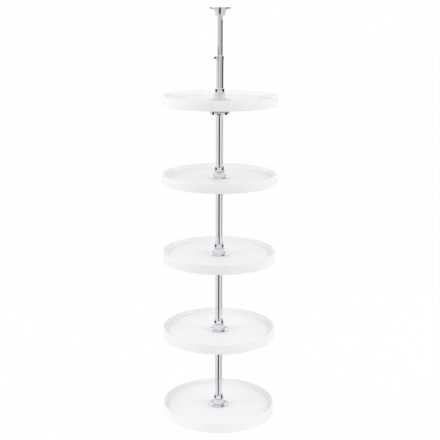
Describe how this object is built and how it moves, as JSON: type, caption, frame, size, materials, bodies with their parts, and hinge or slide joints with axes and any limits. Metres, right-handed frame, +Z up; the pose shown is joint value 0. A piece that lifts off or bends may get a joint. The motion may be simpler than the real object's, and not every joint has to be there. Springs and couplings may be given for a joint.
{
  "type": "rotating pantry shelf unit",
  "caption": "Rotating pantry unit: round white trays that turn and slide on a telescopic chrome post between floor and ceiling brackets.",
  "frame": {"origin": "centre of the post on the floor, at the bottom face of the floor bracket", "axes": "+Z up along the post; the front of the unit, with the brackets' slots and the collars' set screws, faces -Y; the thumb screw points to -X"},
  "size_m": [0.4572, 0.4572, 1.724],
  "materials": {
    "tray_white": "moulded white polymer, satin gloss",
    "chrome_cast": "chrome plated die casting",
    "chrome_collar": "chrome plated turned collar",
    "chrome_bracket": "chrome plated bracket",
    "chrome_ferrule": "chrome plated ferrule",
    "chrome_tube": "chrome plated steel tube",
    "acetal": "natural acetal, matt",
    "screw_zinc": "bright zinc plated",
    "set_screw_black": "black oxide steel",
    "thumb_screw_steel": "nickel plated, knurled"
  },
  "bodies": {
    "post": {"floor_bracket": "chrome_bracket", "floor_bracket_screw": "set_screw_black", "lower_tube": "chrome_tube", "guide_bush": "acetal", "clamp_ferrule": "chrome_ferrule"},
    "upper_post": {"upper_tube": "chrome_tube", "tube_glide": "acetal", "ceiling_bracket": "chrome_bracket", "ceiling_bracket_screw": "set_screw_black"},
    "screw_tip": {"thumb_screw_tip": "acetal"},
    "thumb_screw": {"thumb_screw": "thumb_screw_steel"},
    "carrier_1": {"support_collar_1": "chrome_collar", "thrust_washer_1": "acetal", "keeper_collar_1": "chrome_collar", "collar_screws_1": "set_screw_black"},
    "shelf_1": {"tray_1": "tray_white", "hub_1": "chrome_cast", "upper_bush_1": "acetal", "lower_bush_1": "acetal", "hub_screws_1": "screw_zinc"},
    "carrier_2": {"support_collar_2": "chrome_collar", "thrust_washer_2": "acetal", "keeper_collar_2": "chrome_collar", "collar_screws_2": "set_screw_black"},
    "shelf_2": {"tray_2": "tray_white", "hub_2": "chrome_cast", "upper_bush_2": "acetal", "lower_bush_2": "acetal", "hub_screws_2": "screw_zinc"},
    "carrier_3": {"support_collar_3": "chrome_collar", "thrust_washer_3": "acetal", "keeper_collar_3": "chrome_collar", "collar_screws_3": "set_screw_black"},
    "shelf_3": {"tray_3": "tray_white", "hub_3": "chrome_cast", "upper_bush_3": "acetal", "lower_bush_3": "acetal", "hub_screws_3": "screw_zinc"},
    "carrier_4": {"support_collar_4": "chrome_collar", "thrust_washer_4": "acetal", "keeper_collar_4": "chrome_collar", "collar_screws_4": "set_screw_black"},
    "shelf_4": {"tray_4": "tray_white", "hub_4": "chrome_cast", "upper_bush_4": "acetal", "lower_bush_4": "acetal", "hub_screws_4": "screw_zinc"},
    "carrier_5": {"support_collar_5": "chrome_collar", "thrust_washer_5": "acetal", "keeper_collar_5": "chrome_collar", "collar_screws_5": "set_screw_black"},
    "shelf_5": {"tray_5": "tray_white", "hub_5": "chrome_cast", "upper_bush_5": "acetal", "lower_bush_5": "acetal", "hub_screws_5": "screw_zinc"}
  },
  "joints": [
    {"name": "height_1", "type": "slide", "parent": "post", "child": "carrier_1", "axis": [0, 0, 1], "range_m": [0, 0.09]},
    {"name": "turn_1", "type": "hinge", "parent": "carrier_1", "child": "shelf_1", "pos_m": [0, 0, 0.11], "axis": [0, 0, 1], "continuous": true},
    {"name": "height_2", "type": "slide", "parent": "post", "child": "carrier_2", "axis": [0, 0, 1], "range_m": [-0.09, 0.09]},
    {"name": "turn_2", "type": "hinge", "parent": "carrier_2", "child": "shelf_2", "pos_m": [0, 0, 0.436], "axis": [0, 0, 1], "continuous": true},
    {"name": "height_3", "type": "slide", "parent": "post", "child": "carrier_3", "axis": [0, 0, 1], "range_m": [-0.09, 0.09]},
    {"name": "turn_3", "type": "hinge", "parent": "carrier_3", "child": "shelf_3", "pos_m": [0, 0, 0.757], "axis": [0, 0, 1], "continuous": true},
    {"name": "height_4", "type": "slide", "parent": "post", "child": "carrier_4", "axis": [0, 0, 1], "range_m": [-0.09, 0.09]},
    {"name": "turn_4", "type": "hinge", "parent": "carrier_4", "child": "shelf_4", "pos_m": [0, 0, 1.073], "axis": [0, 0, 1], "continuous": true},
    {"name": "height_5", "type": "slide", "parent": "post", "child": "carrier_5", "axis": [0, 0, 1], "range_m": [-0.09, 0.09]},
    {"name": "turn_5", "type": "hinge", "parent": "carrier_5", "child": "shelf_5", "pos_m": [0, 0, 1.384], "axis": [0, 0, 1], "continuous": true},
    {"name": "post_extension", "type": "slide", "parent": "post", "child": "upper_post", "axis": [0, 0, 1], "range_m": [-0.15, 0.1]},
    {"name": "thumb_screw_travel", "type": "slide", "parent": "post", "child": "screw_tip", "axis": [-1, 0, 0], "range_m": [0, 0.00161]},
    {"name": "thumb_screw_turn", "type": "hinge", "parent": "screw_tip", "child": "thumb_screw", "pos_m": [-0.02, 0, 1.5295], "axis": [-1, 0, 0], "range_deg": [0, 720]}
  ],
  "couplings": [
    {"joint": "thumb_screw_travel", "follows": "thumb_screw_turn", "m_per_rad": 0.00012732}
  ]
}
